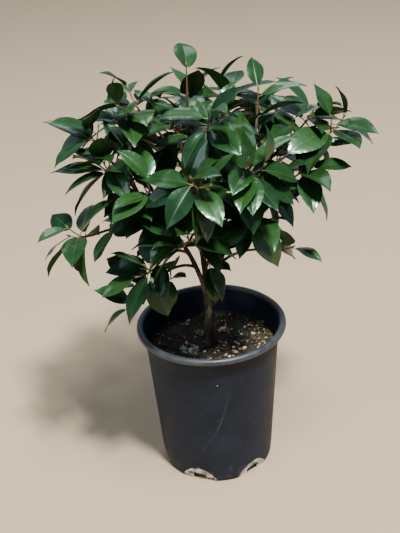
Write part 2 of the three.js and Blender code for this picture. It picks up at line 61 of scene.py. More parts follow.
# Pot, as in the part's source
RIM_RADIUS = 140
POT_HEIGHT = 300
NECK_RADIUS = 127
BASE_RADIUS = 107
WALL = 2.6
BEAD = 13
COLLAR_HEIGHT = 27
COLLAR_STEP = 1.6
FLOOR = 6
FOOT_ROUND = 7
HOLES = 6
FIRST_HOLE = -112
SCALLOP_DEPTH = 7.6
SCALLOP_HEIGHT = 24
HOLE_WIDTH = 26
HOLE_HEIGHT = 13
POT_SIDES = 192

# Potting mix
SOIL_DROP = 52
SOIL_TOP = POT_HEIGHT - SOIL_DROP
SOIL_RELIEF = 2.4
SOIL_RINGS = 64
SOIL_SIDES = 160
FLAT_ROUND_TRUNK = 26
GAP = 0.3

# Growing rule, as in the part's source
GOLDEN = radians(137.5)
TRUNK_FOOT = (-3, 0)
FLARE = 1.3
FLARE_HEIGHT = 16
BOUGH_RADII = (2.8, 2.1)
BOUGH_RISE = 0.5
BOUGH_UPTURN = 0.3
TWIG_UPTURN = 0.5
STEM_SHARE = 0.45
STEM_RADIUS = 2.0
SHOOT_RADIUS = 1.4
SHOOT_TIP_RADIUS = 0.9
SPREAD = radians(50)
FIRST_SPREAD = 0.4
FIRST_PLACE = 0.96
LEAF_LENGTH = 100
LEAF_SIZES = (0.7, 0.9, 1)
LEAF_SPACING = 10
SPACING_GROWTH = 0.2
SHOOT_SHIFT = 1.1
LAST_LEAF = 0.995
LEAFY_SHARE = 0.85
TIP_OPEN = 38
SIDE_OPEN = 62
OPEN_STEP = 4
HALF_WIDTH = 0.255
STALK_SHARE = 0.11
TRIES = 6
TRY_TURN = 0.7
LOWEST_LEAF = 8
RIM_CLEARANCE = 8
FACE_LEAN = 0.3
FACE_LEAST = 0.04

# The rule's draws: a shoot's bearing, opening, place and length, and a leaf's bearing, opening,
# length, arch, roll and droop
SHOOT_BEARING = (-0.25, 0.25)
SHOOT_OPENING = (0.85, 1.15)
SHOOT_PLACE = (0.5, 0.92)
SHOOT_LENGTH = (0.85, 1.1)
LEAF_BEARING = (-0.3, 0.3)
LEAF_OPENING = (-0.15, 0.15)
LEAF_STRETCH = (0.86, 1.06)
LEAF_ARCH = (0.45, 0.95)
LEAF_ROLL = (-0.4, 0.4)
LEAF_DROOP = (-0.1, 0.25)

# What this script draws for a leaf, from a row of its own, and how much less than the source's it
# arches
LOOKS_SEED = (977, 13)
FOLD = (0.2, 0.5)
CURL = (0.08, 0.26)
TWIST = (-0.5, 0.5)
HOOK = (0.1, 0.8)
WAVE = (0.2, 1.5)
ARCH_SHARE = 0.7

# Each limb leaves another one at a share of its length and runs to a tip at a bearing, a reach out
# from the trunk's axis and a height over the mix. A mass of foliage grows on from the tip of each but
# the trunk: the length of its twigs, its shoots, the leaves on a shoot, the bearing of its first
# shoot and its seed.
LIMB_KEYS = ("name", "on", "share", "bearing", "reach", "height",
             "twig", "shoots", "leaves", "turn", "seed")
LIMBS = [dict(zip(LIMB_KEYS, row)) for row in (
    ("trunk", None, 0, 180, 2, 86),
    ("stem_centre", "trunk", 1, 149, 40, 388, 60, 3, 4, 0, 2),
    ("stem_left", "trunk", 0.9, 187, 146, 350, 50, 3, 4, 180, 3),
    ("stem_right", "trunk", 1, 12, 94, 340, 55, 3, 4, 30, 3),
    ("bough_top", "stem_centre", 0.62, 197, 20, 488, 50, 1, 2, 300, 1),
    ("bough_top_left", "stem_centre", 0.78, 167, 94, 445, 55, 2, 5, 90, 5),
    ("bough_top_right", "stem_centre", 0.72, 60, 69, 434, 50, 2, 4, 180, 3),
    ("bough_front_high", "stem_centre", 0.7, 277, 50, 431, 55, 3, 5, 0, 6),
    ("bough_front_mid", "stem_centre", 0.55, 262, 108, 364, 50, 2, 5, 90, 7),
    ("bough_front_low", "stem_centre", 0.38, 256, 116, 276, 45, 2, 5, 0, 20),
    ("bough_front_foot", "stem_centre", 0.2, 288, 37, 213, 30, 1, 2, 0, 21),
    ("bough_left_high", "stem_left", 0.85, 172, 137, 409, 45, 2, 5, 0, 14),
    ("bough_left_far", "stem_left", 0.8, 180, 168, 397, 45, 2, 4, 255, 3),
    ("bough_left_front", "stem_left", 0.75, 219, 118, 346, 45, 2, 4, 0, 16),
    ("bough_left_low", "stem_left", 0.55, 192, 196, 262, 55, 2, 5, 0, 13),
    ("bough_left_foot", "stem_left", 0.4, 224, 123, 217, 45, 2, 4, 0, 18),
    ("bough_left_drop", "stem_left", 0.3, 212, 140, 153, 32, 1, 2, 0, 4),
    ("bough_right_twig", "stem_right", 0.84, 14, 100, 440, 40, 1, 2, 120, 3),
    ("bough_right_high", "stem_right", 0.74, 16, 176, 396, 50, 2, 4, 90, 8),
    ("bough_right_far", "stem_right", 0.8, 0, 203, 398, 50, 2, 4, 270, 9),
    ("bough_right_front", "stem_right", 0.6, 305, 122, 374, 50, 3, 5, 0, 13),
    ("bough_right_mid", "stem_right", 0.68, 346, 150, 343, 45, 2, 4, 180, 3),
    ("bough_right_low", "stem_right", 0.45, 320, 97, 286, 45, 2, 4, 0, 11),
    ("bough_right_foot", "stem_right", 0.3, 355, 112, 196, 40, 1, 3, 240, 1),
    ("bough_back_left", "stem_left", 0.6, 140, 168, 385, 55, 3, 5, 0, 22),
    ("bough_back", "stem_centre", 0.55, 95, 165, 396, 55, 3, 4, 0, 23),
    ("bough_back_right", "stem_right", 0.6, 50, 178, 384, 55, 3, 4, 0, 24),
    ("bough_back_low", "stem_centre", 0.3, 85, 140, 262, 50, 3, 4, 0, 25),
)]
# Where they aren't a bough's: the radii at foot and tip, and how far a limb follows the one it leaves
LIMB_RADII = {"trunk": (8.2, 8.2), "stem_centre": (6.3, 2.8), "stem_left": (4.8, 2.8),
              "stem_right": (6.4, 2.8)}
LIMB_RISE = {"stem_left": 0.75, "stem_right": 0.35}

# Side twigs that only this script carries: where they leave a limb, and what they bear
SIDE_TWIG_PLACES = (0.5, 0.72, 0.9)
SIDE_TWIG_LENGTH = 26
SIDE_TWIG_STRETCH = (0.7, 1.3)
SIDE_TWIG_START = 4
SIDE_TWIG_LEAVES = 3
SIDE_TWIG_OPEN = radians(55)
SIDE_TWIG_BEARING = (-0.4, 0.4)
SIDE_TWIG_SEED = 300
SIDE_LEAF_SHARE = 0.8
BARE_LIMBS = ("bough_right_foot",)

# The gaps at the front that show the stems from a little above: each one's middle and half width,
# its lowest and highest level where it meets the plane of the trunk, and how far in it reaches
FRONT_GAPS = ((-20, 11, 366, 440, -11), (-47, 8, 605, 665, -45))
GAP_SLANT = 0.53


class Random:
    """The source's seeded row of numbers."""

    def __init__(self, seed):
        self.state = seed & 0xFFFFFFFF

    def draw(self, low, high):
        self.state = (self.state + 0x6D2B79F5) & 0xFFFFFFFF
        t = self.state
        t = ((t ^ (t >> 15)) * (t | 1)) & 0xFFFFFFFF
        t = ((t + (((t ^ (t >> 7)) * (t | 61)) & 0xFFFFFFFF)) & 0xFFFFFFFF) ^ t
        return low + (high - low) * (t ^ (t >> 14)) / 4294967296

    def pick(self, count):
        """A whole number under a count."""
        return int(self.draw(0, count - 0.001))


def unit(v):
    return v / sqrt(float(v @ v))


def smoothstep(x, low, high):
    t = np.clip((x - low) / (high - low), 0, 1)
    return t * t * (3 - 2 * t)


def turns_round(sides):
    return np.linspace(0, FULL_TURN, sides, endpoint=False)


def polar(out, turn):
    """The x and y of a place at a distance from the axis and an angle in radians."""
    return out * cos(turn), out * sin(turn)


class Curve:
    """A quadratic curve from a foot to a tip, drawn toward a bend."""

    def __init__(self, foot, bend, tip):
        self.foot, self.bend, self.tip = foot, bend, tip

    def point(self, t):
        return (1 - t) ** 2 * self.foot + 2 * t * (1 - t) * self.bend + t * t * self.tip

    def tangent(self, t):
        return unit((1 - t) * (self.bend - self.foot) + t * (self.tip - self.bend))

    def length(self):
        points = np.array([self.point(t) for t in np.linspace(0, 1, 17)])
        return float(np.linalg.norm(np.diff(points, axis=0), axis=1).sum())


def sideways(axis, angle):
    """A unit vector square to an axis, at an angle round it from the side that is nearest to UP."""
    side = UP - axis * axis[2]
    if side @ side < 1e-4:
        side = axis * axis[1] - np.array([0.0, 1.0, 0.0])
    side = unit(side)
    return side * cos(angle) + np.cross(axis, side) * sin(angle)


def opened(axis, bearing, angle):
    """The direction that leaves an axis at an angle, toward a bearing round it."""
    return axis * cos(angle) + sideways(axis, bearing) * sin(angle)


def limb_curve(limb, curves):
    """The line that a limb runs along. The trunk rises straight out of the mix."""
    tip = np.array([*polar(limb["reach"], radians(limb["bearing"])), SOIL_TOP + limb["height"]])
    if not limb["on"]:
        foot = np.array([*TRUNK_FOOT, SOIL_TOP + GAP])
        return Curve(foot, np.array([foot[0], foot[1], (foot[2] + tip[2]) / 2]), tip)
    parent = curves[limb["on"]]
    foot = parent.point(limb["share"])
    heading = unit(parent.tangent(limb["share"]) + BOUGH_UPTURN * UP)
    rise = LIMB_RISE.get(limb["name"], BOUGH_RISE)
    lead = unit(unit(tip - foot) * (1 - rise) + heading * rise)
    return Curve(foot, foot + lead * dist(tip, foot) / 2, tip)


def twig_curve(foot, heading, length):
    """A twig that leaves a place in one direction and turns upward."""
    middle = foot + heading * length / 2
    return Curve(foot, middle, middle + unit(heading + TWIG_UPTURN * UP) * length / 2)


class Body:
    """A mesh made ready for the touch test."""

    def __init__(self, points, faces):
        self.tree = BVHTree.FromPolygons(points.tolist(), faces)
        self.centre = (points.min(0) + points.max(0)) / 2
        self.radius = sqrt(((points - self.centre) ** 2).sum(1).max())

    def touches(self, others):
        for other in others:
            apart = self.centre - other.centre
            if apart @ apart < (self.radius + other.radius) ** 2 and self.tree.overlap(other.tree):
                return True
        return False


def tube_rings(curve, radius_at, sides, steps):
    """Rings of points along a curve, as an array of steps + 1 rows."""
    side = sideways(curve.tangent(0), 0)
    turns = turns_round(sides)
    rings = []
    for k in range(steps + 1):
        share = k / steps
        axis = curve.tangent(share)
        side = unit(side - axis * (axis @ side))
        across = np.cross(axis, side)
        ring = np.outer(np.cos(turns), side) + np.outer(np.sin(turns), across)
        rings.append(curve.point(share) + radius_at(share) * ring)
    return np.array(rings)


def ring_faces(sides, steps):
    """The faces of a tube's rings, with both its ends closed."""
    faces = []
    for k in range(steps):
        for i in range(sides):
            a = k * sides + i
            b = k * sides + (i + 1) % sides
            faces.append((a, b, b + sides, a + sides))
    faces.append(tuple(reversed(range(sides))))
    faces.append(tuple(range(sides * steps, sides * (steps + 1))))
    return faces


def tube(curve, radius_at, sides, steps):
    """The points and faces of a closed tube along a curve."""
    return tube_rings(curve, radius_at, sides, steps).reshape(-1, 3), ring_faces(sides, steps)


def taper(foot, tip):
    return lambda share: foot + (tip - foot) * share


def trunk_radius(curve, foot, tip):
    """The trunk swells to a root flare over its lowest part."""
    even = taper(foot, tip)
    def radius(share):
        height = curve.point(share)[2] - SOIL_TOP
        return even(share) * (1 + (FLARE - 1) * max(0, 1 - height / FLARE_HEIGHT) ** 2)
    return radius


# A blade's outline: where it is widest, how full it is, and how its tip narrows and is drawn out
WIDEST = 0.86
FULLNESS = 0.8
TIP_NARROWING = 0.25
POINT_DEPTH = 0.3
POINT_SPAN = (0.8, 0.97)
# Where the hook of a tip starts, and the ripples along a margin: how many, how far the two margins
# differ and the half width in millimetres at which they are full
HOOK_START = 0.78
RIPPLES = 9
RIPPLE_SHIFT = 1.5
RIPPLE_FULL = 12


def half_width(share):
    """Half of a blade's width at a share of its length, as a share of its length. The source's outline,
    drawn out to a longer point at the tip."""
    s = np.clip((share - STALK_SHARE) / (1 - STALK_SHARE), 0, 1)
    full = np.sin(pi * s ** WIDEST) ** FULLNESS * (1 - TIP_NARROWING * s ** 3)
    return HALF_WIDTH * full * (1 - POINT_DEPTH * smoothstep(s, *POINT_SPAN))


class Leaf:
    """A leaf's place, and what makes it differ from its neighbours."""

    def __init__(self, root, along, face, length, arch, looks):
        self.root, self.along, self.face = root, along, face
        self.length, self.arch = length, arch
        self.fold = looks.draw(*FOLD)
        self.curl = looks.draw(*CURL)
        self.twist = looks.draw(*TWIST)
        self.hook = looks.draw(*HOOK)
        self.wave = looks.draw(*WAVE)
        self.phase = looks.draw(0, FULL_TURN)
        self.tint = looks.draw(0, 1)

    def frames(self, shares):
        """The middle line and its upward and sideward directions at shares of the length."""
        angle = (self.arch * shares)[:, None]
        hook = self.hook * np.clip(shares - HOOK_START, 0, 1)[:, None] ** 2
        run = self.length * np.sin(angle) / self.arch
        fall = self.length * ((1 - np.cos(angle)) / self.arch + hook)
        centre = self.root + self.along * run - self.face * fall
        up = self.face * np.cos(angle) + self.along * np.sin(angle)
        across = np.cross(self.along, self.face)
        turn = (self.twist * shares)[:, None]
        return centre, up * np.cos(turn) - across * np.sin(turn), across * np.cos(turn) + up * np.sin(turn)

    def blade(self, shares, columns):
        """The upper side as a grid: a row of points for each share, from the left margin to the right."""
        centre, up, across = self.frames(shares)
        half = half_width(shares)[:, None] * self.length
        lift = half * (sin(self.fold) * abs(columns) - self.curl * columns * columns)
        ripple = np.sin(RIPPLES * shares[:, None] + self.phase + RIPPLE_SHIFT * np.sign(columns))
        lift = lift + self.wave * columns * columns * ripple * np.minimum(half / RIPPLE_FULL, 1)
        side = half * cos(self.fold) * columns
        return centre[:, None] + across[:, None] * side[..., None] + up[:, None] * lift[..., None], up


CAGE_SHARES = np.array([0.14, 0.3, 0.5, 0.7, 0.88, 1.0])
CAGE_COLUMNS = np.array([-1.0, 0.0, 1.0])
LIMB_CAGE = (6, 6)
TWIG_CAGE = (3, 2)


def leaf_cage(leaf):
    """A coarse sheet of the blade, for the touch test."""
    grid, _ = leaf.blade(CAGE_SHARES, np.tile(CAGE_COLUMNS, (len(CAGE_SHARES), 1)))
    points = grid.reshape(-1, 3)
    faces = [(3 * k + i, 3 * k + i + 1, 3 * k + i + 4, 3 * k + i + 3)
             for k in range(len(CAGE_SHARES) - 1) for i in range(2)]
    return points, Body(points, faces)


def clear_of_pot(points):
    """Whether a leaf hangs clear of the mix and of the pot's rim."""
    from_rim = abs(np.hypot(points[:, 0], points[:, 1]) - RIM_RADIUS + BEAD / 2)
    beside_rim = (points[:, 2] < POT_HEIGHT + RIM_CLEARANCE) & (from_rim < BEAD / 2 + RIM_CLEARANCE)
    return bool((points[:, 2] > SOIL_TOP + LOWEST_LEAF).all() and not beside_rim.any())


def clear_of_front_gaps(points):
    """Whether a leaf keeps out of the gaps through which the stems show at the front."""
    level = points[:, 2] + GAP_SLANT * points[:, 1]
    for middle, half_gap, low, high, inmost in FRONT_GAPS:
        inside = (abs(points[:, 0] - middle) < half_gap) & (level > low) & (level < high)
        if (inside & (points[:, 1] < inmost)).any():
            return False
    return True


def within_reach(points):
    """Whether a leaf keeps inside the part's own box."""
    low, high = (np.array(corner) / MM for corner in cad_box)
    return bool((points.min(0) >= low).all() and (points.max(0) <= high).all())


def face_up(along, axis, roll):
    """The upper side of a leaf: as near to UP as its direction lets it be, then rolled a little."""
    wanted = unit(UP + FACE_LEAN * axis)
    face = wanted - along * (wanted @ along)
    if face @ face < FACE_LEAST:
        face = axis - along * (axis @ along)
    face = unit(face)
    return face * cos(roll) + np.cross(along, face) * sin(roll)


class Crown:
    """One mass of foliage: its twigs, its shoots and its leaves."""

    def __init__(self, name, seed):
        self.name = name
        self.row = Random(seed)
        self.looks = Random(seed * LOOKS_SEED[0] + LOOKS_SEED[1])
        self.twigs, self.shoots, self.leaves, self.bodies = [], [], [], []

    def add_twig(self, curve, radii, others):
        body = Body(*tube(curve, taper(*radii), *TWIG_CAGE))
        if body.touches(others):
            return False
        self.twigs.append((curve, radii))
        self.bodies.append(body)
        return True

    def grow_twigs(self, curve, twig, shoots, turn, others):
        """A stem that carries on its limb's line, and shoots that leave it round the golden angle."""
        single = shoots == 1
        heading = curve.tangent(1)
        stem_length = twig if single else twig * STEM_SHARE
        stem = twig_curve(curve.point(1) + heading * GAP, heading, stem_length)
        self.add_twig(stem, (STEM_RADIUS, SHOOT_TIP_RADIUS if single else SHOOT_RADIUS), [])
        if single:
            self.shoots.append((stem, 0, stem_length))
            return
        for order in range(shoots):
            bearing = radians(turn) + order * GOLDEN + self.row.draw(*SHOOT_BEARING)
            open_angle = SPREAD * (FIRST_SPREAD if order == 0 else self.row.draw(*SHOOT_OPENING))
            place = FIRST_PLACE if order == 0 else self.row.draw(*SHOOT_PLACE)
            length = (twig - stem_length * place) * self.row.draw(*SHOOT_LENGTH)
            axis = stem.tangent(place)
            shoot = twig_curve(stem.point(place), opened(axis, bearing, open_angle), length)
            if self.add_twig(shoot, (SHOOT_RADIUS, SHOOT_TIP_RADIUS), others):
                self.shoots.append((shoot, order, length))

    def grow_leaves(self, count, turn, others, size_share=1.0):
        """The leaves of each shoot. One that would touch anything is turned and tried again."""
        for shoot, order, length in self.shoots:
            for i in range(count):
                back = count - 1 - i
                spacing = LEAF_SPACING * (1 + SPACING_GROWTH * back)
                share = LAST_LEAF - min(LEAFY_SHARE, back * spacing / length)
                root, axis = shoot.point(share), shoot.tangent(share)
                bearing = radians(turn) + i * GOLDEN + order * SHOOT_SHIFT + self.row.draw(*LEAF_BEARING)
                usual = TIP_OPEN if back == 0 else SIDE_OPEN + OPEN_STEP * min(back, 3)
                open_angle = radians(usual) + self.row.draw(*LEAF_OPENING)
                size = LEAF_LENGTH * LEAF_SIZES[min(back, 2)] * self.row.draw(*LEAF_STRETCH) * size_share
                arch, roll = ARCH_SHARE * self.row.draw(*LEAF_ARCH), self.row.draw(*LEAF_ROLL)
                droop = self.row.draw(*LEAF_DROOP)
                self.try_leaf(root, axis, bearing, open_angle, (size, arch, roll, droop), others)

    def try_leaf(self, root, axis, bearing, open_angle, habit, others):
        size, arch, roll, droop = habit
        for attempt in range(TRIES):
            along = unit(opened(axis, bearing + attempt * TRY_TURN, open_angle) - droop * UP)
            leaf = Leaf(root, along, face_up(along, axis, roll), size, arch, self.looks)
            points, body = leaf_cage(leaf)
            in_space = clear_of_pot(points) and clear_of_front_gaps(points) and within_reach(points)
            if in_space and not body.touches(self.bodies + others):
                self.leaves.append(leaf)
                self.bodies.append(body)
                return


def grow_plant():
    """The limbs' lines and radii, and every mass of foliage with the side twigs of its limbs."""
    curves, radii, limb_bodies = {}, {}, []
    for limb in LIMBS:
        name = limb["name"]
        curve = limb_curve(limb, curves)
        ends = LIMB_RADII.get(name, BOUGH_RADII)
        curves[name] = curve
        radii[name] = taper(*ends) if limb["on"] else trunk_radius(curve, *ends)
        limb_bodies.append(Body(*tube(curve, radii[name], *LIMB_CAGE)))
    crowns = []
    for limb in LIMBS[1:]:
        crown = Crown("foliage_" + limb["name"].partition("_")[2], limb["seed"])
        others = limb_bodies + bodies_of(crowns)
        crown.grow_twigs(curves[limb["name"]], limb["twig"], limb["shoots"], limb["turn"], others)
        crowns.append(crown)
    for crown, limb in zip(crowns, LIMBS[1:]):
        others = limb_bodies + bodies_of(other for other in crowns if other is not crown)
        crown.grow_leaves(limb["leaves"], limb["turn"], others)
    return curves, radii, crowns, grow_side_twigs(curves, crowns, limb_bodies)


def bodies_of(crowns):
    return [body for crown in crowns for body in crown.bodies]


def grow_side_twigs(curves, crowns, limb_bodies):
    """Short leafy twigs along the limbs, which fill the crown from inside."""
    side = []
    for number, limb in enumerate(LIMBS[1:]):
        if limb["name"] in BARE_LIMBS:
            continue
        curve = curves[limb["name"]]
        for step, place in enumerate(SIDE_TWIG_PLACES):
            crown = Crown("side_" + limb["name"], SIDE_TWIG_SEED + 10 * number + step)
            bearing = GOLDEN * (number + 2 * step) + crown.row.draw(*SIDE_TWIG_BEARING)
            start = opened(curve.tangent(place), bearing, SIDE_TWIG_OPEN)
            length = SIDE_TWIG_LENGTH * crown.row.draw(*SIDE_TWIG_STRETCH)
            shoot = twig_curve(curve.point(place) + start * SIDE_TWIG_START, start, length)
            standing = limb_bodies + bodies_of(crowns + side)
            if crown.add_twig(shoot, (SHOOT_RADIUS, SHOOT_TIP_RADIUS), standing):
                crown.shoots.append((shoot, 0, length))
                crown.grow_leaves(SIDE_TWIG_LEAVES, 0, standing, SIDE_LEAF_SHARE)
                side.append(crown)
    return side


def linked(name, data):
    """A new object in the scene that shows the data."""
    made = bpy.data.objects.new(name, data)
    bpy.context.scene.collection.objects.link(made)
    return made


class Mesh:
    """Points and faces gathered from many small shapes, each face with its material's number."""

    def __init__(self):
        self.points, self.faces, self.kinds, self.size = [], [], [], 0

    def add(self, points, faces, kinds):
        self.points.append(points)
        self.faces += [tuple(i + self.size for i in face) for face in faces]
        self.kinds += [kinds] * len(faces) if isinstance(kinds, int) else kinds
        self.size += len(points)

    def make(self, name, materials, sharp=60):
        """The object that shows the mesh, shaded smooth up to an angle."""
        mesh = bpy.data.meshes.new(name)
        mesh.from_pydata((np.concatenate(self.points) * MM).tolist(), [], self.faces)
        for material in materials:
            mesh.materials.append(material)
        mesh.polygons.foreach_set("material_index", self.kinds)
        mesh.polygons.foreach_set("use_smooth", [True] * len(mesh.polygons))
        mesh.set_sharp_from_angle(angle=radians(sharp))
        mesh.validate()
        return linked(name, mesh)


# A leaf's mesh: its rows, where the first and last stand and how they crowd, its columns, and its
# relief in millimetres
LEAF_STEPS = 28
BLADE_ENDS = (0.02, 0.995)
ROW_CROWDING = 0.92
OUTER_COLUMNS = (1.0, 0.7, 0.36)
QUILT = 0.6
SIDE_VEINS = 8
VEIN_SLANT = 1.5
VEIN_FOOT, VEIN_TIP = 0.75, 0.2
VEIN_LIMIT = 0.4
TOOTH = 0.022
GROOVE = 0.25
BLADE_THICKNESS = 0.45
EDGE_THINNING = 0.6
KEEL = 0.7
KEEL_TAPER = 0.7
STALK_SHARES = np.array([-0.012, 0.02, 0.07, 0.13])
STALK_RADII = np.array([1.25, 1.0, 0.85, 0.5])
STALK_DROP = 0.5
STALK_SIDES = 6
# A blade's closed shell is rings of points, along the upper side and back along the under side, where
# its faces are split the other way. The faces are of three kinds: 0 above, 1 midrib, 2 below.
BLADE_SIDES = 4 * len(OUTER_COLUMNS) + 2
BLADE_FACES = [face[1:] + face[:1] if number % BLADE_SIDES >= BLADE_SIDES / 2 else face
               for number, face in enumerate(ring_faces(BLADE_SIDES, LEAF_STEPS))]
BLADE_KINDS = [0, 0, 0, 1, 0, 0, 0, 2, 2, 2, 1, 2, 2, 2] * LEAF_STEPS + [2, 2]


def add_leaf(mesh, leaf, tints):
    """One leaf: a blade with fine teeth, a groove over its midrib and a keel below it, and a stalk."""
    shares = STALK_SHARE + (1 - STALK_SHARE) * np.linspace(*BLADE_ENDS, LEAF_STEPS + 1) ** ROW_CROWDING
    half = half_width(shares) * leaf.length
    vein = np.minimum(VEIN_FOOT + (VEIN_TIP - VEIN_FOOT) * shares, VEIN_LIMIT * half) / half
    outer = np.array(OUTER_COLUMNS)
    left = -outer[None] * (1 - vein[:, None]) - vein[:, None]
    columns = np.concatenate([left, -vein[:, None], vein[:, None], -left[:, ::-1]], 1)
    teeth = 1 - TOOTH * (np.arange(LEAF_STEPS + 1) % 2)
    columns[:, 0] *= teeth
    columns[:, -1] *= teeth
    grid, up = leaf.blade(shares, columns)
    middle = columns.shape[1] // 2 - 1
    grid[:, middle:middle + 2] -= (up * GROOVE)[:, None]
    spread = abs(columns)
    quilt = np.cos(FULL_TURN * (SIDE_VEINS * shares[:, None] - VEIN_SLANT * spread) + leaf.phase)
    quilt = QUILT * quilt * spread * (1 - spread ** 4)
    grid += up[:, None] * quilt[..., None]
    depth = BLADE_THICKNESS * (1 - EDGE_THINNING * columns[:, 1:-1] ** 2)
    depth[:, middle - 1:middle + 1] += KEEL * (1 - KEEL_TAPER * shares[:, None])
    below = grid[:, 1:-1] - up[:, None] * depth[..., None]
    rings = np.concatenate([grid, below[:, ::-1]], 1)
    tint = min(int(leaf.tint * tints), tints - 1)
    mesh.add(rings.reshape(-1, 3), BLADE_FACES, [(tint, tints, tints + 1)[kind] for kind in BLADE_KINDS])
    add_stalk(mesh, leaf, tints + 2)


def add_stalk(mesh, leaf, kind):
    centre, up, across = leaf.frames(STALK_SHARES)
    turns = turns_round(STALK_SIDES)
    ring = up[:, None] * np.cos(turns)[None, :, None] - across[:, None] * np.sin(turns)[None, :, None]
    points = centre[:, None] + ring * STALK_RADII[:, None, None] - up[:, None] * STALK_DROP
    mesh.add(points.reshape(-1, 3), ring_faces(STALK_SIDES, len(STALK_SHARES) - 1), kind)


TWIG_SIDES = 8
TWIG_STEP = 4
KNOT = 0.16
# A bud: how far it leans and reaches, and its radii from foot to tip
BUD_LEAN = 0.15
BUD_LENGTH = 9
BUD_RADII = (0.9, 1.5, 1.9, 1.7, 1.2, 0.6, 0.12)


def add_twig(mesh, curve, radii, looks):
    """A young twig, thicker at each place where a leaf stands."""
    beat = looks.draw(0.8, 1.2) * curve.length() / LEAF_SPACING
    even = taper(*radii)
    def radius(share):
        return even(share) * (1 + KNOT * max(0, cos(FULL_TURN * beat * share)) ** 6)
    mesh.add(*tube(curve, radius, TWIG_SIDES, max(6, int(curve.length() / TWIG_STEP))), 0)


def add_bud(mesh, curve):
    """The pointed bud at a shoot's tip."""
    tip, axis = curve.point(1), curve.tangent(1)
    bud = Curve(tip - axis, tip + axis * 4, tip + unit(axis + BUD_LEAN * UP) * BUD_LENGTH)
    steps = len(BUD_RADII) - 1
    mesh.add(*tube(bud, lambda share: float(BUD_RADII[round(share * steps)]), 7, steps), 0)


BARK_SIDES = 20
BARK_STEP = 2.4
# The bark's relief as shares of a limb's radius: ridges, grain, scars and the collar where it starts
RIDGE = 0.1
GRAIN = 0.05
SCAR = 0.09
COLLAR = 0.55
SCAR_SPACING = 22
SCAR_LENGTH = 1.8
COLLAR_REACH = 2.2
# The pale split in the trunk's front under its fork: its ends along the trunk, its bearing and half angle
SPLIT = (58, 88, 276, 30)


def add_bark(mesh, curve, radius_at, seed, collar, split=None):
    """A limb with its bark's relief: long ridges, a few swollen scars, and a collar where it starts."""
    length = curve.length()
    steps = int(length / BARK_STEP)
    rings = tube_rings(curve, lambda share: 1.0, BARK_SIDES, steps)
    centres = np.array([curve.point(k / steps) for k in range(steps + 1)])
    out = rings - centres[:, None]
    looks = Random(seed)
    scars = [looks.draw(0.1, 0.98) * length for _ in range(int(length / SCAR_SPACING))]
    for k in range(steps + 1):
        place = k / steps * length
        base = radius_at(k / steps)
        swell = sum(exp(-((place - scar) / SCAR_LENGTH) ** 2) for scar in scars)
        foot = COLLAR * exp(-place / (COLLAR_REACH * base)) if collar else 0
        for i in range(BARK_SIDES):
            x, y, z = out[k, i] * base
            ridge = noise.noise(Vector((x * 0.5 + seed, y * 0.5, place * 0.045 + z * 0.05)))
            grain = noise.noise(Vector((x * 1.1, y * 1.1 + seed, place * 0.22)))
            out[k, i] *= base * (1 + RIDGE * ridge + GRAIN * grain + SCAR * swell + foot)
    points = (centres[:, None] + out).reshape(-1, 3)
    faces = ring_faces(BARK_SIDES, steps)
    kinds = [0] * len(faces)
    if split:
        kinds = [int(in_split(points[list(face)].mean(0), *split)) for face in faces]
    mesh.add(points, faces, kinds)


def in_split(place, low, high, bearing, half_angle):
    """Whether a place on the trunk lies in its split, which is pointed at both ends."""
    along = (place[2] - SOIL_TOP - low) / (high - low)
    turn = degrees(atan2(place[1], place[0] - TRUNK_FOOT[0])) % 360
    return 0 < along < 1 and abs(turn - bearing) < half_angle * sin(pi * along) ** 0.7


def wall_radius(height):
    """The wall's outside radius at a height."""
    return BASE_RADIUS + (NECK_RADIUS - BASE_RADIUS) * height / POT_HEIGHT


MIX_EDGE = wall_radius(SOIL_TOP) - WALL - GAP
EDGE_MARGIN = 4


def arc(x, y, radius, start, end, steps):
    """Points on an arc round (x, y), angles in degrees, both ends included."""
    angles = np.radians(np.linspace(start, end, steps + 1))
    return [(x + radius * cos(a), y + radius * sin(a)) for a in angles]


def lathe(profile, sides):
    """A profile of (radius, height) turned round the Z axis, closed where it meets the axis."""
    inner = profile[1:-1]
    points = [(0, 0, profile[0][1])]
    points += [(*polar(r, turn), z) for r, z in inner for turn in turns_round(sides)]
    points.append((0, 0, profile[-1][1]))
    faces = []
    for i in range(sides):
        j = (i + 1) % sides
        faces.append((0, 1 + j, 1 + i))
        for k in range(len(inner) - 1):
            a, b = 1 + k * sides + i, 1 + k * sides + j
            faces.append((a, b, b + sides, a + sides))
        last = 1 + (len(inner) - 1) * sides
        faces.append((last + i, last + j, len(points) - 1))
    return np.array(points, float), faces


def inner_profile(clearance):
    """The inside of the pot's floor and foot, or the mix in it at a clearance."""
    thick_top = SCALLOP_HEIGHT + 2 * FOOT_ROUND
    foot_inside = BASE_RADIUS - SCALLOP_DEPTH - WALL
    return [(0, FLOOR + clearance), (foot_inside - clearance, FLOOR + clearance),
            (wall_radius(thick_top) - WALL - clearance, thick_top)]


def box_cutter(size, shift, lean, bearing, material):
    """A box for cutting: moved, leaned back, moved again and turned to its bearing."""
    corners = [(x, y, z) for x in (-0.5, 0.5) for y in (-0.5, 0.5) for z in (-0.5, 0.5)]
    faces = [(0, 1, 3, 2), (4, 6, 7, 5), (0, 4, 5, 1), (2, 3, 7, 6), (0, 2, 6, 4), (1, 5, 7, 3)]
    mesh = bpy.data.meshes.new("cutter")
    mesh.from_pydata([np.array(c) * size * MM for c in corners], [], faces)
    mesh.materials.append(material)
    for move in (Matrix.Translation(Vector(shift[0]) * MM), Matrix.Rotation(lean, 4, "Y"),
                 Matrix.Translation(Vector(shift[1]) * MM), Matrix.Rotation(bearing, 4, "Z")):
        mesh.transform(move)
    return linked("cutter", mesh)


